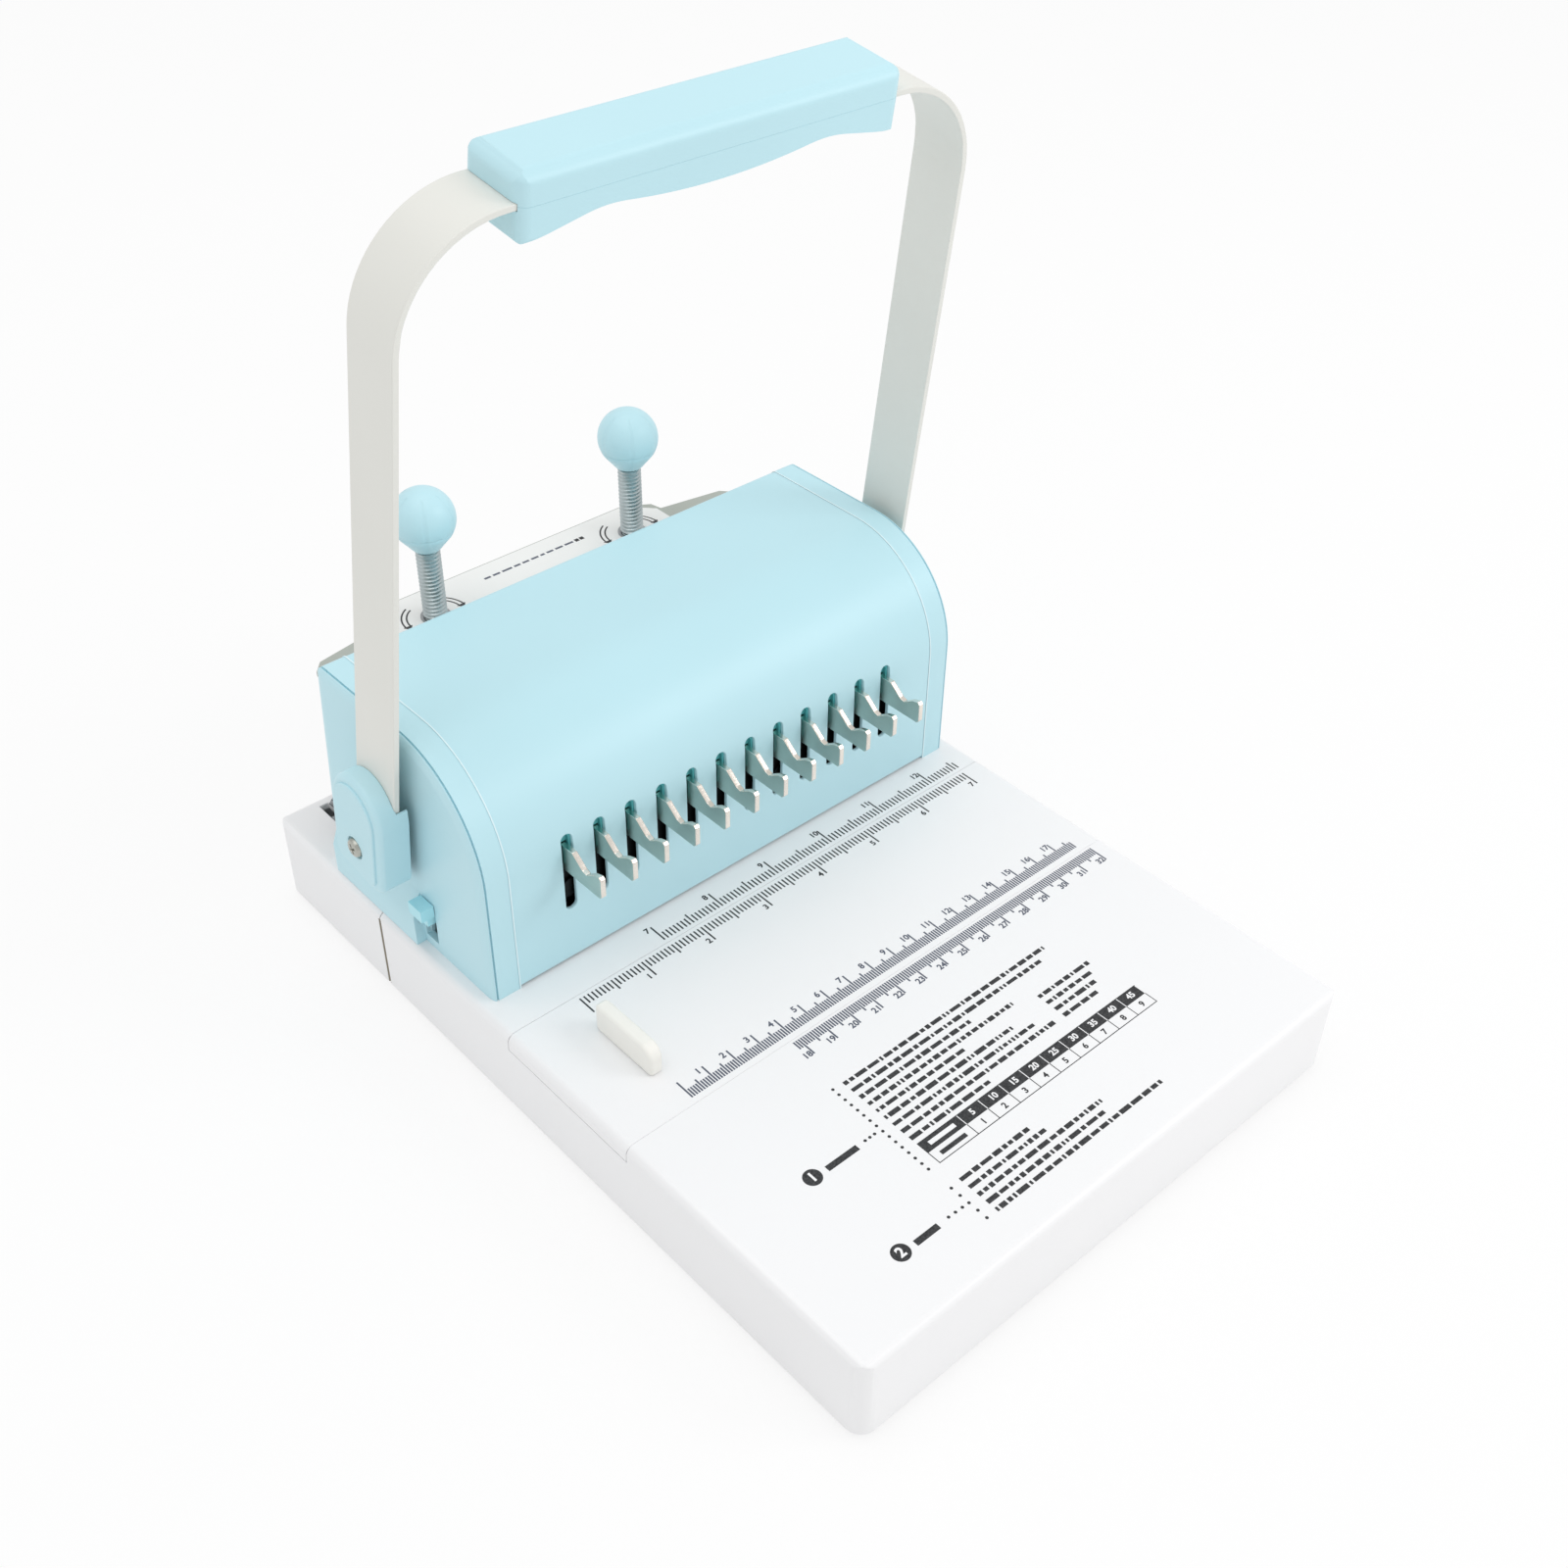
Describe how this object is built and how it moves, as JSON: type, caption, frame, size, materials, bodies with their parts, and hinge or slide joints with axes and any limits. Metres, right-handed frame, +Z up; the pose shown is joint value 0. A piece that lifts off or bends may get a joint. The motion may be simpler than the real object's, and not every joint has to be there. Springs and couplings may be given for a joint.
{
  "type": "ring binding machine",
  "caption": "Desk machine with a swing handle that punches sheets, hooks that open a binding comb, a sliding edge guide and a screw press for wire loops.",
  "frame": {"origin": "on the table under the middle of the base, at the underside of the feet", "axes": "+X right for the user, +Y away from the user, +Z up"},
  "size_m": [0.2382, 0.305, 0.2973],
  "materials": {
    "blue_plastic": "satin moulded light blue",
    "white_plastic": "satin moulded white",
    "stop_plastic": "off-white moulded",
    "painted_steel": "warm grey satin enamel",
    "plated_steel": "zinc plated sheet and bar",
    "nickel": "nickel plated",
    "bronze": "sintered bronze",
    "rubber": "matt dark grey"
  },
  "bodies": {
    "chassis": {"base_shell": "white_plastic", "bottom_plate": "plated_steel", "rubber_feet": "rubber", "base_screws": "plated_steel", "left_side_frame": "plated_steel", "right_side_frame": "plated_steel", "die_plate": "plated_steel", "stripper_plate": "plated_steel", "guide_rods": "nickel", "return_springs": "plated_steel", "tie_bar": "plated_steel", "frame_screws": "nickel", "slotted_cover": "blue_plastic", "cover_screws": "nickel", "left_end_cap": "blue_plastic", "right_end_cap": "blue_plastic", "cap_screws": "nickel", "rear_bracket": "painted_steel", "bracket_screws": "nickel", "screw_bushes": "plated_steel", "anvil_rail": "plated_steel", "axle_bushes": "bronze"},
    "handle": {"handle_strap": "painted_steel", "grip_upper": "blue_plastic", "grip_lower": "blue_plastic", "grip_screws": "nickel", "left_pivot_cap": "blue_plastic", "right_pivot_cap": "blue_plastic", "pivot_screws": "nickel", "axle": "nickel", "left_cam": "plated_steel", "right_cam": "plated_steel"},
    "press": {"punch_bar": "plated_steel", "punches": "nickel", "hook_bar": "plated_steel", "comb_hooks": "nickel", "hook_screws": "nickel"},
    "strip": {"guide_strip": "white_plastic", "edge_stop": "stop_plastic"},
    "drawer": {"chip_drawer": "white_plastic"},
    "selector": {"selector_tab": "blue_plastic"},
    "backstop": {"paper_backstop": "plated_steel"},
    "closer": {"closing_bar": "plated_steel", "foot_keepers": "plated_steel"},
    "left_adjuster": {"left_adjusting_screw": "plated_steel", "left_ball_knob": "blue_plastic"},
    "right_adjuster": {"right_adjusting_screw": "plated_steel", "right_ball_knob": "blue_plastic"}
  },
  "joints": [
    {"name": "handle_turn", "type": "hinge", "parent": "chassis", "child": "handle", "pos_m": [0, 0.073, 0.077], "axis": [1, 0, 0], "range_deg": [0, 75], "stiffness_Nm_per_rad": 0.6, "springref_deg": -28.65},
    {"name": "press_slide", "type": "slide", "parent": "chassis", "child": "press", "axis": [0, 0, -1], "range_m": [0, 0.0118], "deforming": ["return_springs"]},
    {"name": "strip_slide", "type": "slide", "parent": "chassis", "child": "strip", "axis": [-1, 0, 0], "range_m": [0, 0.1]},
    {"name": "drawer_slide", "type": "slide", "parent": "chassis", "child": "drawer", "axis": [0, 1, 0], "range_m": [0, 0.1]},
    {"name": "selector_slide", "type": "slide", "parent": "chassis", "child": "selector", "axis": [0, 0, -1], "range_m": [0, 0.0035]},
    {"name": "backstop_slide", "type": "slide", "parent": "chassis", "child": "backstop", "axis": [0, 1, 0], "range_m": [0, 0.0029]},
    {"name": "closer_slide", "type": "slide", "parent": "chassis", "child": "closer", "axis": [0, 0, -1], "range_m": [0, 0.009]},
    {"name": "left_knob_turn", "type": "hinge", "parent": "closer", "child": "left_adjuster", "pos_m": [-0.0435, 0.134, 0.1], "axis": [0, 0, -1], "range_deg": [0, 2161]},
    {"name": "right_knob_turn", "type": "hinge", "parent": "closer", "child": "right_adjuster", "pos_m": [0.0435, 0.134, 0.1], "axis": [0, 0, -1], "range_deg": [0, 2161]}
  ],
  "couplings": [
    {"joint": "press_slide", "follows": "handle_turn", "m_per_rad": 0.009},
    {"joint": "backstop_slide", "follows": "selector_slide", "ratio": 0.8},
    {"joint": "left_knob_turn", "follows": "closer_slide", "rad_per_m": 4188.8},
    {"joint": "right_knob_turn", "follows": "closer_slide", "rad_per_m": 4188.8}
  ]
}
